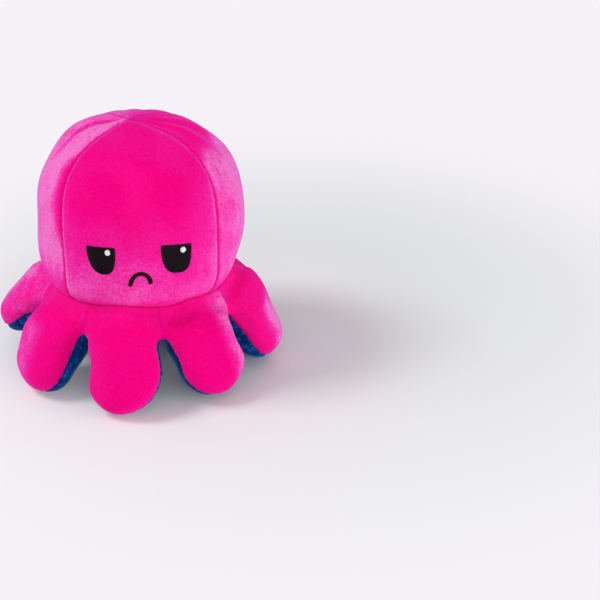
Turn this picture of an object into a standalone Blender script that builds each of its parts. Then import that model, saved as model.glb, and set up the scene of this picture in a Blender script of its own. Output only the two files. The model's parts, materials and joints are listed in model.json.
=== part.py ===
"""Reversible plush octopus, pink side out: a stuffed head on eight stuffed arms.

Units are metres, +Z is up and the face looks along -Y. The origin is on the floor under the
middle of the head. Angles in a radial plane are measured from outwards, through up.
"""

import math

import bmesh
import bpy
from mathutils import Matrix, Vector

MM = 0.001

# Cloth, seams and clearances
FABRIC = 3.0 * MM
SEAM_GAP = 0.3 * MM
WELD_DISTANCE = 0.003 * MM
FILLING_GAP = 0.7 * MM
SOCKET_CLEARANCE = 0.5 * MM

# Head, as the pink side shows it
HEAD_RADIUS = 72.0 * MM
HEAD_RISE = 70.0 * MM
HEAD_DROP = 58.0 * MM
HEAD_UPPER_FULLNESS = 2.2
HEAD_LOWER_FULLNESS = 2.7
CROWN_HOLE_RADIUS = 1.5 * MM
NECK_ANGLE = 122.0

# Arms
ARM_COUNT = 8
FRONT_ARM_TURN = -11.5
ARM_HALF_WIDTH = 23.5 * MM
ARM_SIDE_GAP = 3.1 * MM
ARM_ROOT_RADIUS = 17.0 * MM
ARM_TIP_RADIUS = 16.5 * MM
ARM_SWELL = 1.5 * MM
ARM_HINGE_HEIGHT = 47.0 * MM
ARM_ROOT_SLOPE = -50.0
ARM_TIP_SLOPE = -66.0
ARM_ROOT_SQUARENESS = 3.5
ARM_TIP_SQUARENESS = 2.3
TIP_ROUNDING_SHARE = 0.35
FOOT_CUT = 0.5 * MM

# Skirt, the ring that carries the arms under the head
SKIRT_THICKNESS = 2.0 * MM
SKIRT_LIP = 0.8 * MM
SKIRT_OUTER_ANGLE = 107.0
SKIRT_SEAM_ANGLE = 153.0
SKIRT_INNER_ANGLE = 183.0
SKIRT_FLOOR_DROP = 2.5 * MM

# Pocket, the inner head that is turned out through the mouth
POCKET_MOUTH_RADIUS = 24.0 * MM
POCKET_RADIUS = 34.0 * MM
POCKET_THROAT_HEIGHT = 37.0 * MM
POCKET_RISE = 38.0 * MM

# Embroidery
STITCH_THICKNESS = 1.0 * MM
FACE_LIFT = 0.7 * MM
INNER_FACE_LIFT = 0.9 * MM
FACE_DROP = 3.7 * MM
EYE_OFFSET = 25.5 * MM
EYE_HALF_WIDTH = 10.1 * MM
EYE_HEIGHT = 19.5 * MM
EYE_FULLNESS = 0.75
EYE_LID_SLANT = -1.0 * MM
ROUND_EYE_LEAN = 20.0
GLINT_RADIUS = 2.3 * MM
GLINT_SIDE_SHIFT = 4.8 * MM
GLINT_RISE = 6.2 * MM
MOUTH_DROP = 12.1 * MM
MOUTH_HALF_WIDTH = 6.8 * MM
MOUTH_HEIGHT = 9.0 * MM
MOUTH_STROKE = 2.4 * MM
SMILE_HEIGHT_SHARE = 0.55

# How finely the round forms are divided
PANEL_STEPS = 8
HEAD_UPPER_STEPS = 7
HEAD_LOWER_STEPS = 5
STUFFING_STEPS = 24
POCKET_PANEL_STEPS = 5
POCKET_UPPER_STEPS = 5
POCKET_LOWER_STEPS = 4
SKIRT_STEPS_PER_ARM = 4
SKIRT_ARC_STEPS = 2
ARM_TIP_STEPS = 4
ARM_SIDE_STEPS = 3
ARM_ROOT_STEPS = 4
ARM_ACROSS_STEPS = 8
FILLING_ACROSS_STEPS = 6
OUTLINE_STEPS = 14
GLINT_STEPS = 10
MOUTH_STEPS = 10

PANEL_SIDES = ("front", "right", "back", "left")
ARM_NAMES = ("front", "front_right", "right", "back_right", "back", "back_left", "left", "front_left")

# Places that follow from the sizes above
PANEL_SPAN = 360.0 / len(PANEL_SIDES)
SECTOR = math.radians(180.0 / ARM_COUNT)
HINGE_RADIUS = (ARM_HALF_WIDTH + ARM_SIDE_GAP) / math.tan(SECTOR)
SOCKET_RADIUS = ARM_ROOT_RADIUS + SOCKET_CLEARANCE
SKIRT_RADIUS = SOCKET_RADIUS + SKIRT_THICKNESS
SKIRT_FLOOR = ARM_HINGE_HEIGHT - SKIRT_FLOOR_DROP
POCKET_BASE = SKIRT_FLOOR + FABRIC + SEAM_GAP
POCKET_WAIST = POCKET_BASE + POCKET_THROAT_HEIGHT


def turned(radius, height, turn):
    """The point at this radius and height, turned by degrees from the front towards the right."""
    angle = math.radians(turn)
    return Vector((radius * math.sin(angle), -radius * math.cos(angle), height))


def polar(centre, radius, degrees):
    """The point of a radial plane at this distance and angle from centre."""
    angle = math.radians(degrees)
    return (centre[0] + radius * math.cos(angle), centre[1] + radius * math.sin(angle))


def steps(first, last, count):
    """count + 1 numbers from first to last, both exact."""
    return [first + (last - first) * k / count for k in range(count)] + [last]


HINGE = (HINGE_RADIUS, ARM_HINGE_HEIGHT)
NECK = polar(HINGE, SKIRT_RADIUS + SEAM_GAP, NECK_ANGLE)


def oval(share, fullness):
    """The other share of a rounded square: 1 at 0 and 0 at 1, a circle's quarter at fullness 2."""
    return max(0.0, 1 - share**fullness) ** (1 / fullness)


HEAD_WAIST = NECK[1] + HEAD_DROP * oval(NECK[0] / HEAD_RADIUS, HEAD_LOWER_FULLNESS)


def head_surface(height):
    """The head's outer radius at a height, with its outward normal in the radial plane."""
    above = height >= HEAD_WAIST
    reach = HEAD_RISE if above else HEAD_DROP
    fullness = HEAD_UPPER_FULLNESS if above else HEAD_LOWER_FULLNESS
    share = min(1.0, abs(height - HEAD_WAIST) / reach)
    radius = HEAD_RADIUS * oval(share, fullness)
    across = (radius / HEAD_RADIUS) ** (fullness - 1) / HEAD_RADIUS
    along = share ** (fullness - 1) / reach
    return radius, Vector((across, along if above else -along)).normalized()


def head_profile(depth):
    """The head's outline from crown to neck, this far inside its outer surface."""
    crown = math.asin((CROWN_HOLE_RADIUS / HEAD_RADIUS) ** (HEAD_UPPER_FULLNESS / 2))
    neck = math.acos((NECK[0] / HEAD_RADIUS) ** (HEAD_LOWER_FULLNESS / 2))
    heights = [
        HEAD_WAIST + HEAD_RISE * math.cos(angle) ** (2 / HEAD_UPPER_FULLNESS)
        for angle in steps(crown, math.pi / 2, HEAD_UPPER_STEPS)
    ]
    heights += [
        HEAD_WAIST - HEAD_DROP * math.sin(angle) ** (2 / HEAD_LOWER_FULLNESS)
        for angle in steps(0.0, neck, HEAD_LOWER_STEPS)[1:]
    ]
    points = []
    for height in heights:
        radius, normal = head_surface(height)
        points.append((max(radius - depth * normal.x, 0.0), height - depth * normal.y))
    return points


def pocket_surface(height):
    """The pocket's inner radius at a height, with the normal that points into its wall."""
    if height >= POCKET_WAIST:
        share = min(1.0, (height - POCKET_WAIST) / POCKET_RISE)
        radius = POCKET_RADIUS * math.sqrt(1 - share**2)
        normal = Vector((radius / POCKET_RADIUS**2, share / POCKET_RISE))
    else:
        share = (POCKET_WAIST - height) / POCKET_THROAT_HEIGHT
        swell = POCKET_RADIUS - POCKET_MOUTH_RADIUS
        radius = POCKET_MOUTH_RADIUS + swell * (1 + math.cos(math.pi * share)) / 2
        slope = swell * math.pi * math.sin(math.pi * share) / (2 * POCKET_THROAT_HEIGHT)
        normal = Vector((1.0, -slope))
    return radius, normal.normalized()


def pocket_profile(depth):
    """The pocket's outline from its top to its mouth, this far into the wall."""
    first = math.asin(CROWN_HOLE_RADIUS / POCKET_RADIUS)
    heights = [
        POCKET_WAIST + POCKET_RISE * math.cos(angle)
        for angle in steps(first, math.pi / 2, POCKET_UPPER_STEPS)
    ]
    heights += steps(POCKET_WAIST, POCKET_BASE, POCKET_LOWER_STEPS)[1:]
    points = []
    for height in heights:
        radius, normal = pocket_surface(height)
        points.append((radius + depth * normal.x, height + depth * normal.y))
    return points


def socket_arc(first, last, thickness=0.0, lip=0.0):
    """Points round the hinge from lip to thickness outside the socket.

    Their chords stay outside the socket's radius, so that an arm can turn in it.
    """
    spread = 1 / math.cos(math.radians(abs(last - first) / SKIRT_ARC_STEPS / 2))
    angles = steps(first, last, SKIRT_ARC_STEPS)
    outsides = [lip] + [thickness] * SKIRT_ARC_STEPS
    return [
        polar(HINGE, SOCKET_RADIUS * spread + outside, angle) for angle, outside in zip(angles, outsides)
    ]


def material(name, colour, roughness):
    made = bpy.data.materials.new(name)
    made.use_nodes = True
    shader = made.node_tree.nodes["Principled BSDF"]
    shader.inputs["Base Color"].default_value = (*colour, 1.0)
    shader.inputs["Roughness"].default_value = roughness
    shader.inputs["Metallic"].default_value = 0.0
    return made


def finished_mesh(bm, name, finish, sharp_angle=40.0):
    """The mesh of a closed form, with its faces outwards and its round faces shaded smooth."""
    bmesh.ops.remove_doubles(bm, verts=bm.verts, dist=WELD_DISTANCE)
    bmesh.ops.recalc_face_normals(bm, faces=bm.faces)
    mesh = bpy.data.meshes.new(name)
    bm.to_mesh(mesh)
    bm.free()
    mesh.materials.append(finish)
    mesh.shade_smooth()
    mesh.set_sharp_from_angle(angle=math.radians(sharp_angle))
    return mesh


def placed(name, mesh, parent, location=(0.0, 0.0, 0.0)):
    made = bpy.data.objects.new(name, mesh)
    made.parent = parent
    made.location = location
    bpy.context.scene.collection.objects.link(made)
    return made


def empty(name, parent=None, location=(0.0, 0.0, 0.0), turn=0.0):
    made = placed(name, None, parent, location)
    made.rotation_euler.z = math.radians(turn)
    return made


def spun_sector(profile, name, finish, span, count):
    """The solid that a closed outline sweeps through span degrees about +Z, centred on the front."""
    bm = bmesh.new()
    outline = [bm.verts.new(turned(radius, height, -span / 2)) for radius, height in profile]
    face = bm.faces.new(outline)
    bmesh.ops.spin(
        bm,
        geom=[face, *face.edges, *outline],
        axis=(0.0, 0.0, 1.0),
        cent=(0.0, 0.0, 0.0),
        angle=math.radians(span),
        steps=count,
    )
    return finished_mesh(bm, name, finish)


def spun_ring(profile, count, first_turn=0.0):
    """The closed surface that a closed outline sweeps in a full turn about +Z."""
    bm = bmesh.new()
    corners = [bm.verts.new(turned(radius, height, first_turn)) for radius, height in profile]
    edges = [bm.edges.new((corners[k - 1], corners[k])) for k in range(len(corners))]
    bmesh.ops.spin(
        bm,
        geom=[*corners, *edges],
        axis=(0.0, 0.0, 1.0),
        cent=(0.0, 0.0, 0.0),
        angle=2 * math.pi,
        steps=count,
    )
    bmesh.ops.remove_doubles(bm, verts=bm.verts, dist=WELD_DISTANCE)
    return bm


def make_panels(prefix, outer, inner, finish, count, body):
    """Like panels all round, each moved outwards from the axis so that every seam has the same gap."""
    profile = outer + inner[::-1]
    mesh = spun_sector(profile, prefix, finish, PANEL_SPAN, count)
    shift = SEAM_GAP / 2 / math.sin(math.radians(PANEL_SPAN / 2))
    for number, side in enumerate(PANEL_SIDES):
        turn = PANEL_SPAN * number
        panel = placed(f"{prefix}_{side}", mesh, body, turned(shift, 0.0, turn))
        panel.rotation_euler.z = math.radians(turn)


def make_head_stuffing(finish, body):
    """One bell of filling between the head panels, the skirt and the pocket's panels."""
    depth = FABRIC + FILLING_GAP
    outer = head_profile(depth)
    outer[0] = (0.0, outer[0][1])
    inner = pocket_profile(depth)
    inner[0] = (0.0, inner[0][1])
    neck_wall = HINGE_RADIUS - SKIRT_RADIUS - FILLING_GAP
    neck = [(neck_wall, NECK[1]), (neck_wall, POCKET_BASE)]
    bm = spun_ring(outer + neck + inner[::-1], STUFFING_STEPS)
    placed("head_stuffing", finished_mesh(bm, "head_stuffing", finish), body)


def squared(bm, beyond):
    """Moves a ring's points beyond this radius outwards, to straight sides along the arms' hinges."""
    for vertex in bm.verts:
        turn = math.atan2(vertex.co.x, -vertex.co.y) - math.radians(FRONT_ARM_TURN)
        off_arm = (turn + SECTOR) % (2 * SECTOR) - SECTOR
        if vertex.co.xy.length > beyond:
            vertex.co.xy /= math.cos(off_arm)


def make_skirt(pink, blue, body):
    """The two rings of cloth that the arms are sewn to: pink above, blue below with the mouth in it."""
    count = ARM_COUNT * SKIRT_STEPS_PER_ARM
    top = socket_arc(SKIRT_OUTER_ANGLE, SKIRT_SEAM_ANGLE, SKIRT_THICKNESS, SKIRT_LIP)
    under = socket_arc(SKIRT_OUTER_ANGLE, SKIRT_SEAM_ANGLE)
    bm = spun_ring(top + under[::-1], count, FRONT_ARM_TURN)
    squared(bm, POCKET_MOUTH_RADIUS)
    placed("skirt_cover", finished_mesh(bm, "skirt_cover", pink), body)

    start = SKIRT_SEAM_ANGLE + math.degrees(2 * SEAM_GAP / SOCKET_RADIUS)
    outside = socket_arc(start, SKIRT_INNER_ANGLE)
    back = [
        polar(HINGE, SKIRT_RADIUS, start),
        (HINGE_RADIUS - SKIRT_RADIUS, ARM_HINGE_HEIGHT + FABRIC),
        (HINGE_RADIUS - SKIRT_RADIUS, SKIRT_FLOOR + FABRIC),
    ]
    floor_edge = (HINGE_RADIUS - SOCKET_RADIUS - SOCKET_CLEARANCE, SKIRT_FLOOR)
    mouth = [(POCKET_MOUTH_RADIUS, SKIRT_FLOOR), (POCKET_MOUTH_RADIUS, SKIRT_FLOOR + FABRIC)]
    bm = spun_ring(outside + [floor_edge] + mouth + back[::-1], count, FRONT_ARM_TURN)
    squared(bm, POCKET_MOUTH_RADIUS + SEAM_GAP)
    placed("skirt_lining", finished_mesh(bm, "skirt_lining", blue), body)


ROOT_SLOPE = math.radians(ARM_ROOT_SLOPE)
BEND = math.radians(ARM_TIP_SLOPE - ARM_ROOT_SLOPE)
TIP_CENTRE_DROP = ARM_HINGE_HEIGHT - ARM_TIP_RADIUS + FOOT_CUT
ARM_BEND_RADIUS = TIP_CENTRE_DROP / (math.cos(ROOT_SLOPE) - math.cos(ROOT_SLOPE + BEND))


def arm_line(share):
    """The point, direction and upper normal of an arm's curved centre line, from its hinge."""
    slope = ROOT_SLOPE + BEND * share
    along = Vector((math.cos(slope), 0.0, math.sin(slope)))
    up = Vector((-math.sin(slope), 0.0, math.cos(slope)))
    reach = ARM_BEND_RADIUS * (math.sin(ROOT_SLOPE) - math.sin(slope))
    drop = ARM_BEND_RADIUS * (math.cos(ROOT_SLOPE) - math.cos(slope))
    return Vector((reach, 0.0, -drop)), along, up


def arm_thickness(share):
    """Half of an arm's thickness along its centre line."""
    taper = (ARM_TIP_RADIUS - ARM_ROOT_RADIUS) * share
    return ARM_ROOT_RADIUS + taper + ARM_SWELL * math.sin(math.pi * share)


def arm_crown(share, across):
    """How much of its thickness an arm has, across from its middle at 0 to its seams at -1 and 1."""
    squareness = ARM_ROOT_SQUARENESS + (ARM_TIP_SQUARENESS - ARM_ROOT_SQUARENESS) * share
    return (1 - abs(across) ** squareness) ** (1 / squareness)


def arm_column(side, depth, gap, across):
    """One line of an arm's upper (side 1) or lower (side -1) surface, from its tip to its root."""

    def round_end(share, sign, angles):
        centre, along, up = arm_line(share)
        radius = (arm_thickness(share) - depth) * arm_crown(share, across)
        return [
            centre + along * sign * radius * math.cos(angle) + up * side * (radius * math.sin(angle) + gap)
            for angle in angles
        ]

    end = 1 - TIP_ROUNDING_SHARE * (1 - math.sqrt(1 - across**2))
    line = round_end(end, 1.0, steps(0.0, math.pi / 2, ARM_TIP_STEPS))
    for share in steps(end, 0.0, ARM_SIDE_STEPS)[1:-1]:
        line += round_end(share, 0.0, [math.pi / 2])
    line += round_end(0.0, -1.0, steps(math.pi / 2, 0.0, ARM_ROOT_STEPS))
    aside = Vector((0.0, (ARM_HALF_WIDTH - depth) * across, 0.0))
    return [point + aside for point in line]


def arm_columns(side, depth, gap, count=ARM_ACROSS_STEPS):
    """The lines of one half of an arm, side by side from seam to seam."""
    return [
        arm_column(side, depth, gap, math.sin(angle))
        for angle in steps(-math.pi / 2, math.pi / 2, count)
    ]


def add_grid(bm, columns):
    """Faces between neighbouring lines of points. Returns the lines' vertices."""
    grid = [[bm.verts.new(point) for point in column] for column in columns]
    for left, right in zip(grid, grid[1:]):
        for k in range(len(left) - 1):
            bm.faces.new((left[k], right[k], right[k + 1], left[k + 1]))
    return grid


def grid_border(grid):
    """The vertices round a grid's edge, in order."""
    first = grid[0][:-1]
    last = [column[-1] for column in grid[:-1]]
    back = grid[-1][:0:-1]
    home = [column[0] for column in grid[:0:-1]]
    return first + last + back + home


def arm_shell(name, side, finish):
    """The cloth of one half of an arm, cut flat where it would reach below the floor."""
    bm = bmesh.new()
    outer = grid_border(add_grid(bm, arm_columns(side, 0.0, SEAM_GAP / 2)))
    inner = grid_border(add_grid(bm, arm_columns(side, FABRIC, SEAM_GAP / 2)))
    for k in range(len(outer)):
        bm.faces.new((outer[k - 1], outer[k], inner[k], inner[k - 1]))
    bmesh.ops.remove_doubles(bm, verts=bm.verts, dist=WELD_DISTANCE)
    cut = bmesh.ops.bisect_plane(
        bm,
        geom=[*bm.verts, *bm.edges, *bm.faces],
        plane_co=(0.0, 0.0, -ARM_HINGE_HEIGHT),
        plane_no=(0.0, 0.0, -1.0),
        clear_outer=True,
    )
    edges = [item for item in cut["geom_cut"] if isinstance(item, bmesh.types.BMEdge)]
    if edges:
        bmesh.ops.holes_fill(bm, edges=edges)
    return finished_mesh(bm, name, finish)


def arm_filling(name, finish):
    bm = bmesh.new()
    depth = FABRIC + FILLING_GAP
    add_grid(bm, arm_columns(1, depth, 0.0, FILLING_ACROSS_STEPS))
    add_grid(bm, arm_columns(-1, depth, 0.0, FILLING_ACROSS_STEPS))
    return finished_mesh(bm, name, finish)


def make_arms(pink, blue, white, body):
    """Eight like arms. Each hangs from an empty that lies on its hinge, turned to face outwards."""
    cover = arm_shell("arm_cover", 1, pink)
    lining = arm_shell("arm_lining", -1, blue)
    filling = arm_filling("arm_stuffing", white)
    for number, name in enumerate(ARM_NAMES):
        turn = FRONT_ARM_TURN + math.degrees(2 * SECTOR) * number
        place = turned(HINGE_RADIUS, ARM_HINGE_HEIGHT, turn)
        hinge = empty(f"arm_{name}_hinge", body, place, turn - 90.0)
        placed(f"arm_{name}_cover", cover, hinge)
        placed(f"arm_{name}_lining", lining, hinge)
        placed(f"arm_{name}_stuffing", filling, hinge)


class Wall:
    """A wall to embroider: the head's outside, or the pocket's inside at a smaller scale."""

    def __init__(self, surface, level, scale, outwards, lift):
        self.surface = surface
        self.level = level
        self.scale = scale
        self.outwards = outwards
        self.lift = lift

    def point(self, across, up, layer):
        """The point across and up from the middle of the face, in this layer off the cloth."""
        height = self.level + up * self.scale
        radius, normal = self.surface(height)
        turn = math.degrees(across * self.scale / radius)
        away = (self.lift + layer) * self.outwards
        return turned(radius + away * normal.x, height + away * normal.y, turn)


def eye_outline(middle):
    """A half-shut eye: a straight lid that slants down towards the nose over a round lower edge."""
    side = math.copysign(1.0, middle)
    points = []
    for angle in steps(math.pi, 2 * math.pi, OUTLINE_STEPS):
        across = EYE_HALF_WIDTH * math.cos(angle)
        down = EYE_HEIGHT * abs(math.sin(angle)) ** EYE_FULLNESS
        lid = EYE_HEIGHT / 2 + EYE_LID_SLANT * side * across / EYE_HALF_WIDTH
        points.append((middle + across, lid - down))
    return points


def round_eye_outline(middle):
    """A wide-open eye, an oval whose top leans away from the nose."""
    side = math.copysign(1.0, middle)
    lean = Matrix.Rotation(-math.radians(ROUND_EYE_LEAN) * side, 2)
    points = []
    for angle in steps(0.0, 2 * math.pi, OUTLINE_STEPS)[:-1]:
        oval = Vector((EYE_HALF_WIDTH * math.cos(angle), EYE_HEIGHT / 2 * math.sin(angle)))
        points.append((middle + (lean @ oval).x, (lean @ oval).y))
    return points


def glint_outline(middle):
    """The round highlight at the upper right of an eye."""
    centre = (middle + GLINT_SIDE_SHIFT, GLINT_RISE)
    return [
        (centre[0] + GLINT_RADIUS * math.cos(angle), centre[1] + GLINT_RADIUS * math.sin(angle))
        for angle in steps(0.0, 2 * math.pi, GLINT_STEPS)[:-1]
    ]


def mouth_line(bend, height, offset):
    """One edge of the mouth: half an oval, with bend 1 for a frown and -1 for a smile."""
    points = []
    for angle in steps(math.pi, 0.0, MOUTH_STEPS):
        across = (MOUTH_HALF_WIDTH + offset) * math.cos(angle)
        up = bend * ((height + offset) * math.sin(angle) - height / 2)
        points.append((across, up - MOUTH_DROP))
    return points


def make_patch(name, wall, loop, layer, finish, body):
    """A patch of satin stitch over an outline, one stitch thick, that follows the wall's curve."""
    bm = bmesh.new()
    middle = Vector((sum(x for x, y in loop), sum(y for x, y in loop))) / len(loop)
    rims = []
    for level in (layer, layer + STITCH_THICKNESS):
        rim = [bm.verts.new(wall.point(*spot, level)) for spot in loop]
        half = [bm.verts.new(wall.point(*(middle + Vector(spot)) / 2, level)) for spot in loop]
        centre = bm.verts.new(wall.point(*middle, level))
        for k in range(len(loop)):
            bm.faces.new((rim[k - 1], rim[k], half[k], half[k - 1]))
            bm.faces.new((half[k - 1], half[k], centre))
        rims.append(rim)
    under, over = rims
    for k in range(len(loop)):
        bm.faces.new((over[k - 1], over[k], under[k], under[k - 1]))
    placed(name, finished_mesh(bm, name, finish), body)


def make_mouth(name, wall, bend, height, finish, body):
    bm = bmesh.new()
    rails = [
        [bm.verts.new(wall.point(*spot, level)) for spot in mouth_line(bend, height, offset)]
        for offset, level in (
            (-MOUTH_STROKE / 2, 0.0),
            (MOUTH_STROKE / 2, 0.0),
            (MOUTH_STROKE / 2, STITCH_THICKNESS),
            (-MOUTH_STROKE / 2, STITCH_THICKNESS),
        )
    ]
    for side in range(len(rails)):
        one, other = rails[side - 1], rails[side]
        for k in range(MOUTH_STEPS):
            bm.faces.new((one[k], other[k], other[k + 1], one[k + 1]))
    bm.faces.new([rail[0] for rail in rails])
    bm.faces.new([rail[-1] for rail in rails])
    placed(name, finished_mesh(bm, name, finish), body)


def make_face(prefix, wall, eye, bend, mouth_height, black, white, body):
    """Two eyes, each with a glint stitched over it, and a mouth."""
    for side, middle in (("left", -EYE_OFFSET), ("right", EYE_OFFSET)):
        make_patch(f"{prefix}eye_{side}", wall, eye(middle), 0.0, black, body)
        above = STITCH_THICKNESS + SEAM_GAP
        make_patch(f"{prefix}glint_{side}", wall, glint_outline(middle), above, white, body)
    make_mouth(f"{prefix}mouth", wall, bend, mouth_height, black, body)


def main():
    for thing in list(bpy.data.objects):
        bpy.data.objects.remove(thing)
    pink = material("pink_plush", (0.91, 0.002, 0.24), 0.85)
    blue = material("blue_plush", (0.003, 0.055, 0.36), 0.85)
    white = material("white_filling", (0.85, 0.85, 0.83), 0.95)
    black = material("black_thread", (0.008, 0.006, 0.007), 0.5)
    pale = material("white_thread", (0.88, 0.88, 0.88), 0.5)
    body = empty("octopus")

    make_panels("head_panel", head_profile(0.0), head_profile(FABRIC), pink, PANEL_STEPS, body)
    make_panels("pocket_panel", pocket_profile(0.0), pocket_profile(FABRIC), blue, POCKET_PANEL_STEPS, body)
    make_head_stuffing(white, body)
    make_skirt(pink, blue, body)
    make_arms(pink, blue, white, body)

    outside = Wall(head_surface, HEAD_WAIST - FACE_DROP, 1.0, 1.0, FACE_LIFT)
    make_face("", outside, eye_outline, 1.0, MOUTH_HEIGHT, black, pale, body)
    inside = Wall(pocket_surface, POCKET_WAIST, POCKET_RADIUS / HEAD_RADIUS, -1.0, INNER_FACE_LIFT)
    smile = MOUTH_HEIGHT * SMILE_HEIGHT_SHARE
    make_face("inner_", inside, round_eye_outline, -1.0, smile, black, pale, body)


main()
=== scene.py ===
"""Looks of the reversible plush octopus: velvety covers, embroidered faces, filling and studio.

Units are metres. The face looks along -Y. In a radial plane a point is (radius, height), and in an
arm's own plane it is (x outwards from the hinge, z above it).
"""

import json
import math

import bmesh
import bpy
import numpy as np
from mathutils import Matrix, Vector


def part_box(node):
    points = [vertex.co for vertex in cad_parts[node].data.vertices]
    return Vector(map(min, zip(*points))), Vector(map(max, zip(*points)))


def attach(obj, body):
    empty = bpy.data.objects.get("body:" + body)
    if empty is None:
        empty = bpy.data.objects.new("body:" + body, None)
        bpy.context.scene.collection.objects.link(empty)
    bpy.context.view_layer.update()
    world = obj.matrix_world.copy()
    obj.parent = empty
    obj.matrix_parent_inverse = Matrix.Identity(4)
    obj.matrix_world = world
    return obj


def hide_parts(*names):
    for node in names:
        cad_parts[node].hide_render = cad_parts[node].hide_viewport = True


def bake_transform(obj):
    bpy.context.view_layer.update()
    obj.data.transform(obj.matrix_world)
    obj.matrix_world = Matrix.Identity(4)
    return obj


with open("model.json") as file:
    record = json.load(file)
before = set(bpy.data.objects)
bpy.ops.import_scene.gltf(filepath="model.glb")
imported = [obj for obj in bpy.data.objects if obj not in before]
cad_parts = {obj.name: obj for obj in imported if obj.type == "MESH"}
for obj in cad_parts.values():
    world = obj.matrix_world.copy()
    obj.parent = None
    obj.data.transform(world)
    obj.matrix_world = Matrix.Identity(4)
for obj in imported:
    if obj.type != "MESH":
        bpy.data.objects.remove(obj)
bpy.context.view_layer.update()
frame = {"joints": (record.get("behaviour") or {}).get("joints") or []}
MM = 0.001

# Cloth
CLOTH = 2.0 * MM
SEAM_GAP = 0.1 * MM
FILLING_DEPTH = 5.2 * MM
HEAD_FILLING_DEPTH = 6.8 * MM
# The hollow in the top of an arm's filling, which leaves room for the cloth when the arm bends up
FILLING_HOLLOW = 6.5 * MM
HOLLOW_PLACE = 23.0 * MM
HOLLOW_REACH = 15.0 * MM
SHOULDER_WIDTH = 2.3 * MM
SHOULDER_DEPTH = 1.2 * MM
# How wide the painted shade in the seam lines is
SEAM_SHADE_WIDTH = 0.6 * MM
INNER_STEP = 4

# Head
HEAD_RADIUS = 72.0 * MM
HEAD_RISE = 70.0 * MM
HEAD_DROP = 58.0 * MM
HEAD_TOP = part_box("head_panel_front")[1].z
HEAD_WAIST = HEAD_TOP - HEAD_RISE
NECK_RADIUS = 53.7 * MM
UPPER_FULLNESS = 2.2
LOWER_FULLNESS = 2.7
HEAD_SHIFT = 1.7 * MM
CROWN_TILT = 89.7
APEX_SIDE = -2.8 * MM
APEX_FRONT = -1.8 * MM
APEX_REACH = 30.0
SEAM_TURN = 46.5
SEAM_SPREAD = 5.5
BACK_SEAM_TURN = 135.0
SAG = 1.3 * MM
CORNER_WIDTH = 18.0
# Where the filling sinks into a corner over the arms: its turn and how far it bulges
CORNER_SAGS = (
    (SEAM_TURN + 2, 3.6 * MM),
    (-SEAM_TURN - 2, 2.4 * MM),
    (BACK_SEAM_TURN, 1.5 * MM),
    (-BACK_SEAM_TURN, 1.5 * MM),
)
# How the head leans: turn, tilt, how far round and how far up it reaches, and the relief
HEAD_LEANS = (
    (88.0, 38.0, 50.0, 32.0, 0.9 * MM),
    (96.0, -30.0, 42.0, 15.0, -2.6 * MM),
    (-88.0, 8.0, 50.0, 22.0, -1.6 * MM),
    (-95.0, 58.0, 50.0, 18.0, 2.6 * MM),
    (-92.0, -27.0, 34.0, 12.0, 1.7 * MM),
)
SWELL = 1.5 * MM
SWELL_WIDTH = 8.0 * MM
FULLNESS = 1.0 * MM
HEAD_SEAM_GAP = 0.04 * MM
HEAD_SHOULDER_DEPTH = 0.85 * MM
HEAD_PUCKER = 0.2 * MM
PUCKER_WIDTH = 3.0 * MM
# A painted highlight: how much paler the pile is drawn where the face's cover rolls over beside its seams
SEAM_RIDGE_HIGHLIGHT = 0.3

# The folds at the top of each cover: the turn and width in degrees and the depth in mm of each, and the
# tilts between which all of them fade in at their lower end and out at the crown
CROWN_FOLDS = {
    "front": (((-22.0, 5.0, -0.3), (15.0, 6.0, -0.25)), (52, 64), (78, 86)),
    "right": (
        ((62.0, 6.0, -0.9), (72.0, 6.5, 0.6), (83.0, 7.0, -0.9), (96.0, 8.0, 0.5), (110.0, 9.0, -0.6)),
        (28, 45),
        (76, 86),
    ),
    "back": (((170.0, 6.0, -0.5), (195.0, 7.0, -0.6)), (45, 60), (76, 86)),
    "left": (((-64.0, 7.0, 0.8), (-82.0, 8.0, -1.6), (-98.0, 9.0, 0.8)), (32, 52), (80, 88)),
}
HEAD_RELIEF = 0.35 * MM
# How pale the head's pile is drawn in its places, from 0 to 1, partly for the lie of the pile and partly as
# painted sheen; of a pair, the second comes on top by place
CHIN_PALENESS = 0.55
EDGE_PALENESS = 0.24
TEMPLE_PALENESS = 0.14
BROW_PALENESS = 0.04
LEFT_PALENESS = (0.86, 0.12)
RIGHT_PALENESS = (0.55, 0.43)
BACK_PALENESS = (0.2, 0.5)
# How deep the painted shade in the left cover's folds is
PAINTED_FOLD_SHADE = 0.66
# The tilts between which the painted sheen fades out and the pile turns deep above the arms
LOW_SHEEN_FADE = {"front": (-31, -41), "right": (-25, -41), "back": (-10, -36), "left": (-10, -36)}

# Arms
ARMS = ("front", "front_right", "right", "back_right", "back", "back_left", "left", "front_left")
SECTOR = math.pi / len(ARMS)
ARM_WIDTH = 23.5 * MM
ROOT_THICKNESS = 17.0 * MM
TIP_THICKNESS = 16.5 * MM
ARM_SWELL = 1.5 * MM
ROOT_SLOPE = math.radians(-50.0)
TIP_SLOPE = math.radians(-66.0)
HINGE_HEIGHT = frame["joints"][0]["pos_m"][2]
HINGE_RADIUS = math.hypot(*frame["joints"][0]["pos_m"][:2])
TIP_CENTRE_DROP = HINGE_HEIGHT - TIP_THICKNESS + 0.5 * MM
BEND_RADIUS = TIP_CENTRE_DROP / (math.cos(ROOT_SLOPE) - math.cos(TIP_SLOPE))
ROOT_SQUARENESS = 3.2
TIP_SQUARENESS = 2.3
TIP_ROUNDING_SHARE = 0.35
CROTCH_RADIUS = 72.0 * MM
CROTCH_HEIGHT = 47.0 * MM
CROTCH_ROUNDING = 9.0 * MM
VALLEY_NECK = (56.0 * MM, 67.0 * MM)
NECK_ANGLE = 122.0
CROWN_ROOT_EXTRA = 5.0 * MM
MOUTH_RADIUS = 24.0 * MM
MOUTH_LIP = 3.0 * MM
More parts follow.
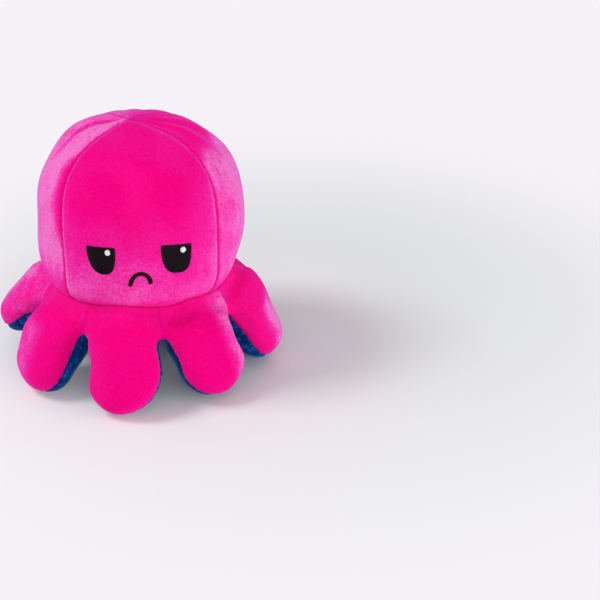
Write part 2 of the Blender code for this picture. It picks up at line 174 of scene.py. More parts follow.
UNDERSIDE_HEIGHT = 44.5 * MM
FOOT_LEVEL = 0.2 * MM
LINING_LEVEL = (38.0 * MM, 50.0 * MM)
LINING_LEAD = 9.0 * MM
CROTCH_LEAD = (0.5 * MM, 3.4 * MM)
# The shares by which an arm is wider at its middle and narrower at its tip
WIDTH_SWELL = 0.03
WIDTH_TAPER = 0.06
ARM_RELIEF = 0.45 * MM
ARM_SEAM_SINK = 0.5 * MM
ARM_PUCKER = 0.28 * MM
HEAD_CLEARANCE = 0.1 * MM
CREASE_CLOSED = 1.2 * MM
CREASE_OPEN = 10.0 * MM
EASE_ROUNDS = 80
EASE_ROWS = 7.0

# How single arms lie: mm aside at the middle and at the tip, degrees up, the share of the length, mm of
# extra crown, how far along that crown is, and the share of the width that is drawn in near the root
LEVEL_LIE = (0.0, 0.0, 0.0, 1.0, 0.0, 2.0, 0.0)
ARM_LIE = {
    "front": (3.8, 1.0, 0.0, 1.0, 0.0, 2.0, 0.0),
    "front_right": (1.0, 3.5, 1.5, 0.93, 0.0, 2.0, 0.08),
    "right": (0.0, 0.0, 3.0, 0.95, 9.8, 5.0, 0.0),
    "back_right": (7.0, 7.0, -2.0, 0.92, -4.0, 4.0, 0.06),
    "left": (-5.0, -4.0, 22.5, 0.93, 9.0, 11.0, 0.0),
}
# The stretches of an arm over which its lie and that of its tip come in, and where it is drawn in most
LIE_SPAN = (1.8 * MM, 26.0 * MM)
TIP_SPAN = (20.0 * MM, 60.0 * MM)
NARROW_PLACE = 14.0 * MM
# How pale each arm's pile is drawn, partly for its lie and partly as painted sheen: all over, further on
# the side that faces away from the front, where across the arm that side begins, and how many mm along the
# arm it begins
ARM_PALENESS = {
    "front": (0.0, 0.06, 0.45, 0.0),
    "front_right": (0.0, 0.68, 0.5, -20.0),
    "right": (0.06, 0.9, -0.4, 14.0),
    "back_right": (0.1, 0.55, 0.4, -10.0),
    "back": (0.15, 0.35, 0.4, -10.0),
    "back_left": (0.2, 0.4, 0.4, -10.0),
    "left": (0.32, 0.45, -0.4, -10.0),
    "front_left": (0.02, 0.42, -0.1, 4.0),
}
PALE_BORDER = 0.35
CREST_LEAN = 0.6
CREST_REACH = 19.0 * MM
ROOT_ROWS = 28
HINGE = np.array([HINGE_RADIUS, 0.0, HINGE_HEIGHT])

# Pocket
POCKET_RADIUS = 34.0 * MM
POCKET_RISE = 38.0 * MM
POCKET_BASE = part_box("pocket_panel_front")[0].z
POCKET_WAIST = POCKET_BASE + 37.0 * MM
POCKET_RELIEF = 0.3 * MM
POCKET_PUCKER = 0.15 * MM

# Embroidery
EYE_OFFSET = 25.5 * MM
EYE_MIDDLES = (("left", -EYE_OFFSET), ("right", EYE_OFFSET))
EYE_LEVEL = 106.3 * MM
EYE_HALF_WIDTH = 10.1 * MM
EYE_HEIGHT = 19.5 * MM
# Each eye's reach to its sides, the heights of its lid's ends, how full its sides are and its lowest level
EYE_FORMS = {
    "left": ((11.1, 9.9), (11.4, 12.6), (2.5, 3.2), -8.9),
    "right": ((12.3, 9.4), (13.6, 11.8), (3.0, 3.4), -9.6),
}
GLINT_PLACES = {"left": (4.4, 7.2), "right": (2.7, 6.8)}
THREAD_PITCH = 0.45 * MM
THREAD_RELIEF = 0.09 * MM
PATCH_LIFT = 0.5 * MM
PATCH_DOME = 0.5 * MM
PATCH_SINK = 1.2 * MM
PATCH_ROUNDING = 1.1 * MM
PATCH_DOME_REACH = 4.0 * MM
THREAD_UNEVEN = 0.13 * MM
THREAD_SWAY = 0.04 * MM
GLINT_RADIUS = 2.3 * MM
GLINT_PLACE = (4.8 * MM, 6.2 * MM)
MOUTH_LEVEL = 94.2 * MM
FROWN_HALF_WIDTH = 6.6 * MM
FROWN_HEIGHT = 9.0 * MM
FROWN_STROKE = 3.7 * MM
SMILE_HEIGHT = 5.0 * MM
SMILE_DROP = 12.1 * MM

# Picture
VIEW_TARGET_HEIGHT = 90.0 * MM
VIEW_DISTANCE = 1.0
VIEW_ELEVATION = math.radians(25.0)
VIEW_SIDE = math.radians(1.8)
VIEW_YAW = math.radians(5.3704)
VIEW_PITCH = math.radians(-27.6486)
FOCAL_LENGTH = 84.33
SENSOR_WIDTH = 36.0
SEEN_SPAN = (0.05, 50.0)
WORLD_COLOUR = (0.97, 0.96, 1.0, 1.0)
WORLD_STRENGTH = 0.45
# The name, place, width and power of each lamp, and the place that all of them look at
LAMPS = (
    ("key", (-0.95, -0.05, 1.25), 0.5, 10.3),
    ("front", (0.3, -1.6, 0.55), 1.0, 8.2),
    ("right", (1.5, -0.75, 0.35), 0.8, 9.0),
)
LAMP_TARGET = (0.0, 0.0, 0.08)
FLOOR_REACH = 20.0
FLOOR_COLOUR = (0.89, 0.925, 0.925, 1.0)
FLOOR_GLOW = 1.0
GLOW_COLOUR = (0.92, 0.895, 0.935, 1.0)
SHADOW_PLACE = (0.10, 0.05, 0.0)
SHADOW_REACH = (0.10, 0.42)

# Pile: its sheen, the light that passes through it, and how many tufts and fibres there are to a metre
SHEEN = 0.5
SHEEN_ROUGHNESS = 0.35
PILE_GLOW = 0.5
PILE_GLOW_REACH = (1.0, 0.25, 0.4)
PILE_LENGTH = 2.5 * MM
TUFT_RATE = 620.0
FIBRE_RATE = 2600.0
LEAST_PALENESS = 0.03
GRAIN_SHADE = 0.86
# How dark the painted shade in the seam lines is
SEAM_SHADE = 0.88


def steps(first, last, count):
    """count + 1 numbers from first to last."""
    return np.linspace(first, last, count + 1)


def smooth(low, high, value):
    """0 on the low side, 1 past high, and an even slope between; high may be the lesser number."""
    share = np.clip((value - low) / (high - low), 0, 1)
    return share * share * (3 - 2 * share)


def bump(value, centre, width):
    return np.exp(-(((value - centre) / width) ** 2))


def round_bump(turn, centre, width):
    """A bump round a turn in degrees, the same after a full turn."""
    return bump((turn - centre + 180) % 360 - 180, 0, width)


def bezier(first, second, third, last, count):
    """Points on a cubic curve between the first point and the last."""
    share = steps(0, 1, count)[:, None]
    rest = 1 - share
    first, second, third, last = (np.array(point) for point in (first, second, third, last))
    ends = rest**3 * first + share**3 * last
    return ends + 3 * rest**2 * share * second + 3 * rest * share**2 * third


def lumps(points, size, seed, waves=16):
    """Smooth uneven relief of about this size between its humps, from -2 to 2."""
    draw = np.random.default_rng(seed)
    directions = draw.normal(size=(waves, 3))
    directions /= np.linalg.norm(directions, axis=1, keepdims=True)
    rates = 2 * math.pi / size * draw.uniform(0.6, 1.2, waves)
    phases = draw.uniform(0, 2 * math.pi, waves)
    total = np.sin(points @ (directions * rates[:, None]).T + phases).sum(axis=-1)
    return total / math.sqrt(waves / 2)


def normals_of(grid):
    """Unit normals of a grid of points, row direction crossed with column direction."""
    normal = np.cross(np.gradient(grid, axis=0), np.gradient(grid, axis=1))
    length = np.linalg.norm(normal, axis=2, keepdims=True)
    normal = normal / np.maximum(length, 1e-15)
    bad = length[..., 0] < 1e-13
    for column, other in ((0, 1), (-1, -2)):
        normal[bad[:, column], column] = normal[bad[:, column], other]
    return normal


def nearest(points, line):
    """How far each point is from a line of points, and how far along the line that place is."""
    flat = points.reshape(-1, 3)
    run = np.concatenate([[0], np.cumsum(np.linalg.norm(np.diff(line, axis=0), axis=1))])
    squares = (flat**2).sum(1)[:, None] + (line**2).sum(1) - 2 * flat @ line.T
    index = squares.argmin(1)
    distance = np.sqrt(np.maximum(squares[np.arange(len(flat)), index], 0))
    return distance.reshape(points.shape[:2]), run[index].reshape(points.shape[:2])


def shoulder(distance, width=SHOULDER_WIDTH, depth=SHOULDER_DEPTH):
    """How deep cloth rolls in towards a seam that is this far away."""
    near = np.clip(1 - distance / width, 0, 1)
    return depth * (1 - np.sqrt(1 - near**2))


def nearest_of_two(points, lines):
    """What nearest gives for the nearer of two lines."""
    near = [nearest(points, line) for line in lines]
    first = near[0][0] <= near[1][0]
    return [np.where(first, one, other) for one, other in zip(*near)]


def puckers(points, along, pitch, sway, size, seed):
    """Uneven waves along a seam, from -1 to 1."""
    return np.sin(2 * math.pi * along / pitch + sway * lumps(points, size, seed))


def mesh_object(name, points, faces, material, sharp=None, marks=None):
    """A mesh piece; marks are values for each point that its material reads by name."""
    mesh = bpy.data.meshes.new(name)
    mesh.from_pydata([tuple(point) for point in points], [], faces)
    for mark, values in (marks or {}).items():
        mesh.attributes.new(mark, "FLOAT", "POINT").data.foreach_set("value", np.ravel(values))
    bm = bmesh.new()
    bm.from_mesh(mesh)
    bmesh.ops.remove_doubles(bm, verts=bm.verts, dist=0.004 * MM)
    bmesh.ops.dissolve_degenerate(bm, edges=bm.edges, dist=0.002 * MM)
    bmesh.ops.recalc_face_normals(bm, faces=bm.faces)
    bm.to_mesh(mesh)
    bm.free()
    mesh.materials.append(material)
    mesh.shade_smooth()
    if sharp:
        mesh.set_sharp_from_angle(angle=math.radians(sharp))
    made = bpy.data.objects.new(name, mesh)
    bpy.context.scene.collection.objects.link(made)
    return made


def grid_faces(rows, columns, first=0):
    corner = first + np.arange(rows - 1)[:, None] * columns + np.arange(columns - 1)
    quads = np.stack([corner, corner + 1, corner + columns + 1, corner + columns], axis=-1)
    return quads.reshape(-1, 4).tolist()


def border(rows, columns, step, first=0):
    """The numbers of a grid's border points, every step of them, in order round it."""
    number = first + np.arange(rows * columns).reshape(rows, columns)
    runs = [number[0, ::step], number[::step, -1], number[-1, ::-step], number[::-step, 0]]
    return [int(n) for run in runs for n in run[:-1]]


def cloth_shell(name, grid, normals, material, thickness=CLOTH, marks=None):
    """A closed shell of cloth whose fine outer face is the grid and whose inner face is coarser."""
    rows, columns = grid.shape[:2]
    inner = (grid - normals * thickness)[::INNER_STEP, ::INNER_STEP]
    first = rows * columns
    faces = grid_faces(rows, columns)
    faces += [face[::-1] for face in grid_faces(*inner.shape[:2], first)]
    rim = border(rows, columns, 1)
    back = border(*inner.shape[:2], 1, first)
    for k in range(len(back)):
        run = [rim[(k * INNER_STEP + n) % len(rim)] for n in range(INNER_STEP + 1)]
        faces.append([*run, back[(k + 1) % len(back)], back[k]])
    points = np.concatenate([grid.reshape(-1, 3), inner.reshape(-1, 3)])
    marks = {
        mark: np.concatenate([values.ravel(), values[::INNER_STEP, ::INNER_STEP].ravel()])
        for mark, values in (marks or {}).items()
    }
    return mesh_object(name, points, faces, material, sharp=70, marks=marks)


def dress(piece, slot, bodies, *nodes, fill=None):
    """Hides the model's parts that a piece stands for, and attaches it to its body when it moves with only
    one; the slot of its finish is not used.
    """
    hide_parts(*nodes)
    if len(bodies) == 1:
        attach(piece, bodies[0])


# Head covers


def head_point(turn, tilt):
    """A point of the head at a turn from the front and a tilt above its waist, in degrees."""
    turn, tilt = np.radians(turn), np.radians(tilt)
    fullness = np.where(tilt >= 0, UPPER_FULLNESS, LOWER_FULLNESS)
    reach = np.where(tilt >= 0, HEAD_RISE, HEAD_DROP)
    across, up = np.cos(tilt), np.abs(np.sin(tilt))
    scale = (across**fullness + up**fullness) ** (-1 / fullness)
    radius = HEAD_RADIUS * across * scale
    height = HEAD_WAIST + np.sign(tilt) * reach * up * scale
    crown = smooth(90 - APEX_REACH, 90, np.degrees(tilt))
    aside = HEAD_SHIFT * smooth(-45, -15, np.degrees(tilt)) + (APEX_SIDE - HEAD_SHIFT) * crown
    forward = APEX_FRONT * crown
    return np.stack([aside + radius * np.sin(turn), forward - radius * np.cos(turn), height], axis=-1)


def head_relief(points, turn, tilt):
    """How far the filling pushes the cloth out, most of all low down where the head rests on the arms."""
    low = smooth(-12, -36, tilt) * (1 - 0.85 * smooth(-41, neck_tilt(), tilt))
    sag = SAG + sum(extra * round_bump(turn, place, CORNER_WIDTH) for place, extra in CORNER_SAGS)
    lean = sum(
        depth * round_bump(turn, place, reach) * bump(tilt, level, rise)
        for place, level, reach, rise, depth in HEAD_LEANS
    )
    return sag * low + lean + HEAD_RELIEF * lumps(points, 34 * MM, 3)


def neck_tilt():
    """The tilt at which the head meets the arms."""
    share = (NECK_RADIUS / HEAD_RADIUS) ** LOWER_FULLNESS
    return -math.degrees(math.atan2((1 - share) ** (1 / LOWER_FULLNESS), share ** (1 / LOWER_FULLNESS)))


def seam_turn(tilt):
    """How far the front seams are turned from the face's middle at a tilt."""
    return SEAM_TURN + SEAM_SPREAD * np.sin(2 * np.radians(np.clip(tilt, 0, 90))) ** 2


def gore_grid(side, columns=72, rows=128):
    """The points of one head cover, with the turn and tilt of each."""
    tilt = steps(CROWN_TILT, neck_tilt(), rows)[:, None]
    across = np.sin(steps(-math.pi / 2, math.pi / 2, columns))[None, :]
    front = seam_turn(tilt)
    edges = {
        "front": (-front, front),
        "right": (front, BACK_SEAM_TURN + 0 * front),
        "back": (BACK_SEAM_TURN + 0 * front, 360 - BACK_SEAM_TURN + 0 * front),
        "left": (-BACK_SEAM_TURN + 0 * front, -front),
    }
    low, high = edges[side]
    radius = np.maximum(np.linalg.norm(head_point(0, tilt) - head_point(180, tilt), axis=-1) / 2, 4 * MM)
    gap = np.degrees(HEAD_SEAM_GAP / 2 / radius)
    turn = (low + high) / 2 + ((high - low) / 2 - gap) * across
    tilt = tilt + 0 * turn
    return head_point(turn, tilt), turn, tilt


def crown_folds(side, turn, tilt):
    """Soft folds that run down from the crown of a cover."""
    folds, lower, upper = CROWN_FOLDS[side]
    fade = smooth(*lower, tilt) * (1 - smooth(*upper, tilt))
    return fade * sum(depth * bump(turn, place, width) for place, width, depth in folds) * MM


def seam_sink(distance):
    """How far the head's cloth is drawn in at this distance from a seam."""
    return SWELL * np.exp(-distance / SWELL_WIDTH) + shoulder(distance, SHOULDER_WIDTH, HEAD_SHOULDER_DEPTH)


def head_covers(material):
    for side in ("front", "right", "back", "left"):
        grid, turn, tilt = gore_grid(side)
        normals = normals_of(grid)
        relief = head_relief(grid, turn, tilt) + crown_folds(side, turn, tilt)
        distance, along = nearest_of_two(grid, (grid[:, 0], grid[:, -1]))
        relief += FULLNESS - seam_sink(distance) * (1 - 0.5 * smooth(50, 70, tilt))
        pucker = puckers(grid, along, 5.5 * MM, 2, 30 * MM, 8)
        relief += HEAD_PUCKER * pucker * np.exp(-distance / PUCKER_WIDTH)
        # How pale the pile is drawn: partly for its lie and partly as painted sheen
        nap = head_nap_and_sheen(grid, turn, tilt, side) * (1 - 0.5 * bump(distance, 0, 1.2 * MM))
        if side == "front":
            # A painted highlight along the roll of cloth beside the face's seams
            nap += SEAM_RIDGE_HIGHLIGHT * bump(distance, 2.0 * MM, 1.1 * MM)
        # The seam mark is painted shade in the seam lines
        marks = {"nap": nap, "seam": bump(distance, 0, SEAM_SHADE_WIDTH)}
        grid = grid + normals * relief[..., None]
        cover = cloth_shell(f"head_cover_{side}", grid, normals, material, marks=marks)
        dress(cover, "pink_plush", ["head"], f"head_panel_{side}", fill=0.95)


def front_nap_and_sheen(points, turn, tilt):
    """Deep on the forehead, and pale on the chin, at the temple and beside the seams, partly for the lie of
    the pile and partly as painted sheen.
    """
    from_seam = seam_turn(tilt) - np.abs(turn)
    chin = CHIN_PALENESS * smooth(32, -42, tilt) * (1 - 0.25 * bump(turn, 24, 14))
    edge = EDGE_PALENESS * smooth(11, 1, from_seam) * smooth(50, 15, tilt) * smooth(-34, -15, tilt)
    brow = BROW_PALENESS * bump(tilt, 62, 10)
    temple = TEMPLE_PALENESS * bump(turn, 41, 11) * bump(tilt, 12, 26)
    return np.maximum(chin, edge) + 0.4 * np.minimum(chin, edge) + brow + temple


def left_nap_and_sheen(points, turn, tilt):
    """Pale with painted sheen, with a deep edge beside the face at its middle height and painted shade in
    the folds at the crown.
    """
    past = -turn - seam_turn(tilt)
    centre = -79 - 8 * smooth(48, 76, tilt)
    beyond = 0.3 * smooth(centre, centre - 10, turn)
    # Painted shade in the folds at the crown
    painted_fold_shade = np.maximum(PAINTED_FOLD_SHADE * bump(turn, centre, 6), beyond)
    painted_fold_shade = painted_fold_shade * smooth(36, 50, tilt) * (1 - smooth(82, 88, tilt))
    deep_edge = 9 * smooth(-5, 22, tilt) * smooth(56, 40, tilt)
    pale = LEFT_PALENESS[0] + LEFT_PALENESS[1] * smooth(30, 60, tilt)
    return smooth(-2 + 0.2 * deep_edge, 3 + deep_edge, past) * pale - painted_fold_shade


def right_nap_and_sheen(points, turn, tilt):
    """Paler away from the face, partly for the lie of the pile and partly as painted sheen, up to a ragged
    border under the crown.
    """
    past = turn - seam_turn(tilt)
    ragged = tilt + 5 * np.tanh(lumps(points * [1.0, 1.0, 0.3], 20 * MM, 25))
    pale = RIGHT_PALENESS[0] * smooth(-1, 3, past) + RIGHT_PALENESS[1] * smooth(5, 40, past)
    pale = pale + 0.25 * bump(tilt, 35, 8)
    return pale * smooth(60, 36, ragged) * (1 - 0.35 * smooth(95, 125, turn)) + 0.03


def back_nap_and_sheen(points, turn, tilt):
    """Paler towards the left cover, partly for the lie of the pile and partly as painted sheen, and a
    little deeper at the crown.
    """
    pale = BACK_PALENESS[1] * smooth(145, 205, turn) * (1 - 0.35 * smooth(70, 84, tilt))
    return BACK_PALENESS[0] + pale


def head_nap_and_sheen(points, turn, tilt, side):
    """How pale the pile is drawn on a cover of the head, from 0 to 1: partly for its lie and partly as
    painted sheen.
    """
    nap_and_sheen_of = {"front": front_nap_and_sheen, "right": right_nap_and_sheen, "back": back_nap_and_sheen, "left": left_nap_and_sheen}[side]
    nap = nap_and_sheen_of(points, turn, tilt) * (1 - 0.9 * smooth(*LOW_SHEEN_FADE[side], tilt))
    streaks = np.tanh(lumps(points * [1.0, 1.0, 0.4], 9 * MM, 21))
    broad = np.tanh(lumps(points, 24 * MM, 26))
    return np.clip(nap * (1 + 0.13 * streaks + 0.08 * broad) + 0.05 * np.maximum(broad, 0), 0, 1)


# Arm covers and linings


def arm_line(share):
    """The centre line of an arm in its own plane: place, direction and upper normal."""
    slope = ROOT_SLOPE + (TIP_SLOPE - ROOT_SLOPE) * share
    place = np.stack(
        [
            BEND_RADIUS * (math.sin(ROOT_SLOPE) - np.sin(slope)),
            -BEND_RADIUS * (math.cos(ROOT_SLOPE) - np.cos(slope)),
        ],
        axis=-1,
    )
    along = np.stack([np.cos(slope), np.sin(slope)], axis=-1)
    up = np.stack([-np.sin(slope), np.cos(slope)], axis=-1)
    return place, along, up


def arm_thickness(share):
    taper = (TIP_THICKNESS - ROOT_THICKNESS) * share
    return ROOT_THICKNESS + taper + ARM_SWELL * np.sin(math.pi * share)


def arm_crown(share, across):
    """The share of its thickness that an arm has across from its middle."""
    squareness = ROOT_SQUARENESS + (TIP_SQUARENESS - ROOT_SQUARENESS) * share
    return (1 - np.abs(across) ** squareness) ** (1 / squareness)


def arm_end(across):
    return 1 - TIP_ROUNDING_SHARE * (1 - np.sqrt(np.maximum(1 - across**2, 0)))


def free_arm(side, across, depth=0.0, rows=34, tip_rows=18, root_rows=0):
    """Rows of an arm from its root to its tip seam, on its upper (1) or lower (-1) half.

    Root rows close the arm with a round end behind its hinge.
    """
    share = steps(0, 1, rows)[:, None] * arm_end(across)[None, :]
    place, along, up = arm_line(share)
    thick = (arm_thickness(share) - depth) * arm_crown(share, across)
    middle = place + side * up * thick[..., None]
    angle = math.pi / 2 * np.cos(steps(0, math.pi / 2, tip_rows)[1:])[:, None]
    place, along, up = arm_line(arm_end(across) + 0 * angle)
    radius = (arm_thickness(arm_end(across)) - depth) * arm_crown(arm_end(across), across)
    tip = place + along * (radius * np.cos(angle))[..., None]
    tip = tip + side * up * (radius * np.sin(angle))[..., None]
    run = share * BEND_RADIUS * abs(TIP_SLOPE - ROOT_SLOPE)
    run = np.concatenate([run, run[-1] + 0 * angle])
    angle = steps(0, math.pi / 2, max(root_rows, 1))[:root_rows, None]
    place, along, up = arm_line(0 * across + 0 * angle)
    radius = (ROOT_THICKNESS - depth) * arm_crown(0 * across, across)
    root = place - along * (radius * np.cos(angle))[..., None]
    root = root + side * up * (radius * np.sin(angle))[..., None]
    return np.concatenate([root, middle, tip]), run


def crotch_offset(run):
    """How much of the step from the free seam to the crotch is left this far along an arm."""
    near = np.clip(1 - run / CROTCH_ROUNDING, 0, 1)
    return 1 - np.sqrt(1 - near**2)


def sector_point(radius, height):
    """A point on the plane between two arms, as an arm's own x, y and z."""
    return np.stack(
        [
            radius * math.cos(SECTOR) - HINGE_RADIUS,
            radius * math.sin(SECTOR),
            height - HINGE_HEIGHT,
        ],
        axis=-1,
    )


def root_lines(side, rows):
    """The middle line and the side line of the cloth between the neck or mouth and an arm's root."""
    if side > 0:
        angle = np.radians(steps(NECK_ANGLE, 90 + math.degrees(ROOT_SLOPE), rows))
        out = ROOT_THICKNESS + CROWN_ROOT_EXTRA * smooth(math.radians(50), math.radians(105), angle)
        middle = np.stack([out * np.cos(angle), out * np.sin(angle)], axis=-1)
        bend = steps(0, math.pi / 2, rows)
        radius = VALLEY_NECK[0] + (CROTCH_RADIUS - VALLEY_NECK[0]) * np.sin(bend)
        height = CROTCH_HEIGHT + (VALLEY_NECK[1] - CROTCH_HEIGHT) * np.cos(bend)
        return middle, sector_point(radius, height)
    lip_rows = rows // 4
    bend = steps(0, math.pi / 2, lip_rows)
    lip = np.stack(
        [
            MOUTH_RADIUS + MOUTH_LIP * (1 - np.cos(bend)),
            UNDERSIDE_HEIGHT + MOUTH_LIP * (1 - np.sin(bend)),
        ],
        axis=-1,
    )
    start = (MOUTH_RADIUS + MOUTH_LIP, UNDERSIDE_HEIGHT)
    place, along, up = arm_line(np.array(0.0))
    end = place - up * ROOT_THICKNESS + np.array([HINGE_RADIUS, HINGE_HEIGHT])
    level = (LINING_LEVEL[0], UNDERSIDE_HEIGHT)
    run = bezier(start, level, end - along * LINING_LEAD, end, rows - lip_rows)
    middle = np.concatenate([lip, run[1:]]) - np.array([HINGE_RADIUS, HINGE_HEIGHT])
    crotch = (CROTCH_RADIUS, CROTCH_HEIGHT)
    below = (CROTCH_RADIUS - CROTCH_LEAD[0], CROTCH_HEIGHT - CROTCH_LEAD[1])
    run = bezier(start, (LINING_LEVEL[1], UNDERSIDE_HEIGHT), below, crotch, rows - lip_rows)
    edge = np.concatenate([lip, run[1:]])
    return middle, sector_point(edge[:, 0], edge[:, 1])


def joined_normals(normals, rows):
    """Arm normals that agree with the next arm's where their cloth meets, in the rows before the crotch."""
    for column, side in ((0, -1), (-1, 1)):
        across = np.array([-side * math.sin(SECTOR), math.cos(SECTOR), 0.0])
        edge = normals[:rows, column]
        edge = edge - (edge @ across)[:, None] * across
        normals[:rows, column] = edge / np.linalg.norm(edge, axis=1, keepdims=True)
    return normals


def arm_sector(side, columns=60, root_rows=ROOT_ROWS):
    """One arm's cloth from the neck or the mouth to the tip seam, in the arm's own x, y and z."""
    across = np.sin(steps(-math.pi / 2, math.pi / 2, columns))
    across[0], across[-1] = -1.0, 1.0
    middle, edge = root_lines(side, root_rows)
    share = steps(0, 1, root_rows)[:, None]
    valley = (1 + np.cos(math.pi * across)) / 2
    crease = smooth(0.68, 1.0, share)
    crown = valley * (1 - crease) + arm_crown(np.array(0.0), across) * crease
    flat = edge[:, None, ::2] + (middle - edge[:, ::2])[:, None, :] * crown[..., None]
    aside = edge[:, 1][:, None] * across
    root = np.stack([flat[..., 0], aside, flat[..., 1]], axis=-1)

    free, run = free_arm(side, across)
    left = crotch_offset(run)
    crotch = sector_point(np.array(CROTCH_RADIUS), np.array(CROTCH_HEIGHT))
    drawn_in = 1 + WIDTH_SWELL * bump(run, 20 * MM, 12 * MM) - WIDTH_TAPER * smooth(30 * MM, 48 * MM, run)
    width = ARM_WIDTH * drawn_in + (crotch[1] - ARM_WIDTH) * left
    low = (1 - arm_crown(np.clip(run / run.max(), 0, 1), across)) * left
    arm = np.stack(
        [free[..., 0] + crotch[0] * low, width * across, free[..., 1] + crotch[2] * low], axis=-1
    )
    grid = eased(np.concatenate([root[:-1], arm]), across, root_rows)
    half = columns // 2
    left_seam = np.concatenate([arm[:, 0], arm[-1, : half + 1]])
    right_seam = np.concatenate([arm[:, -1], arm[-1, : half - 1 : -1]])
    return grid, (left_seam, right_seam), across


def mirrored(points, side):
    """An arm's own points mirrored across the plane between it and the next arm on that side."""
    across = np.array([-side * math.sin(SECTOR), math.cos(SECTOR), 0.0])
    away = (points + [HINGE_RADIUS, 0.0, 0.0]) @ across
    return points - 2 * away[:, None] * across


def eased(grid, across, root_rows):
    """The cloth rounded off near the crotches, where the skirt turns into an arm's side.

    The side lines stay in the planes between the arms, and the seam stays where it is.
    """
    share = bump(np.arange(len(grid)), root_rows, EASE_ROWS)[:, None] * smooth(0.3, 0.65, np.abs(across))
    share[root_rows:, [0, -1]] = 0
    share[[0, -1]] = 0
    gap = np.diff(across)
    before = np.concatenate([[gap[0]], gap])[:, None]
    after = np.concatenate([gap, [gap[-1]]])[:, None]
    for _ in range(EASE_ROUNDS):
        left = np.concatenate([mirrored(grid[:, 1], -1)[:, None], grid[:, :-1]], axis=1)
        right = np.concatenate([grid[:, 1:], mirrored(grid[:, -2], 1)[:, None]], axis=1)
        aside = (left * after + right * before) / (before + after)
        along = grid.copy()
        along[1:-1] = (grid[:-2] + grid[2:]) / 2
        grid = grid + share[..., None] * ((aside + along) / 2 - grid)
    return grid


def placed(points, turn):
    """Points of an arm's own x, y and z, moved to where the arm is."""
    x, y, z = points[..., 0] + HINGE_RADIUS, points[..., 1], points[..., 2] + HINGE_HEIGHT
    sine, cosine = math.sin(turn), math.cos(turn)
    return np.stack([x * sine + y * cosine, -x * cosine + y * sine, z], axis=-1)


def arm_turn(name):
    """How far an arm's hinge is turned from the front, from its joint."""
    joint = next(j for j in frame["joints"] if j["child"] == f"arm_{name}")
    x, y, _ = joint["pos_m"]
    return math.atan2(x, -y)


def head_underside():
    """The lower head's outer radius and height at each whole degree of turn."""
    turn = np.arange(-180.0, 181.0)[None, :]
    tilt = steps(-4.0, neck_tilt(), 60)[:, None] + 0 * turn
    points = head_point(turn + 0 * tilt, tilt)
    normals = normals_of(points)
    seams = (SEAM_TURN, -SEAM_TURN, BACK_SEAM_TURN, -BACK_SEAM_TURN)
    away = np.min([np.abs(turn - seam) for seam in seams], axis=0)
    distance = np.radians(away) * np.hypot(points[..., 0], points[..., 1])
    relief = head_relief(points, turn, tilt) + FULLNESS - seam_sink(distance)
    relief += HEAD_PUCKER * np.exp(-distance / PUCKER_WIDTH)
    points = points + normals * relief[..., None]
    return np.hypot(points[..., 0], points[..., 1]), points[..., 2]


def under_head(points, underside):
    """Points pressed down to just clear the head, or drawn up to it where they nearly reach it."""
    radii, heights = underside
    radius = np.hypot(points[..., 0], points[..., 1])
    column = np.rint(np.degrees(np.arctan2(points[..., 0], -points[..., 1]))).astype(int) + 180
    limit = np.full(radius.shape, np.inf)
    for index in np.ndindex(radius.shape):
        rim = radii[:, column[index]]
        if rim[-1] - 3 * MM < radius[index] < rim.max():
            limit[index] = np.interp(radius[index], rim[::-1], heights[::-1, column[index]])
    pressed = points.copy()
    room = np.minimum(limit - HEAD_CLEARANCE - points[..., 2], 1.0)
    drawn = np.where(room < 0, 1, 1 - smooth(CREASE_CLOSED, CREASE_OPEN, room))
    pressed[..., 2] += room * drawn
    return pressed


def settled(points, name, run, crest=0.0):
    """An arm's points as this arm happens to lie: swung aside, raised, drawn in and fuller at its crest."""
    middle, tip, raised, length, swell, swell_run, narrow = ARM_LIE.get(name, LEVEL_LIE)
    share = smooth(*LIE_SPAN, run)[..., None]
    late = smooth(*TIP_SPAN, run)[..., None]
    x, y, z = points[..., 0:1], points[..., 1:2], points[..., 2:3]
    y = y * (1 - narrow * share * bump(run, NARROW_PLACE, NARROW_PLACE)[..., None])
    y = y + MM * (middle * share * (1 - late) + tip * late)
    z = z + swell * MM * (crest * bump(run, swell_run * MM, CREST_REACH))[..., None]
    angle = np.radians(raised) * share
    sine, cosine = np.sin(angle), np.cos(angle)
    slide = 1 + (length - 1) * share
    return np.concatenate([(x * cosine - z * sine) * slide, y, (x * sine + z * cosine) * slide], axis=-1)


def arm_run(points):
    """How far along its arm each point is from the hinge, down the slope of the arm's root."""
    return points[..., 0] * math.cos(ROOT_SLOPE) + points[..., 2] * math.sin(ROOT_SLOPE)


def arm_covers(pink, blue):
    underside = head_underside()
    for name in ARMS:
        arm_cloth(name, 1, "cover", "pink_plush", pink, underside)
        arm_cloth(name, -1, "lining", "blue_plush", blue, underside)


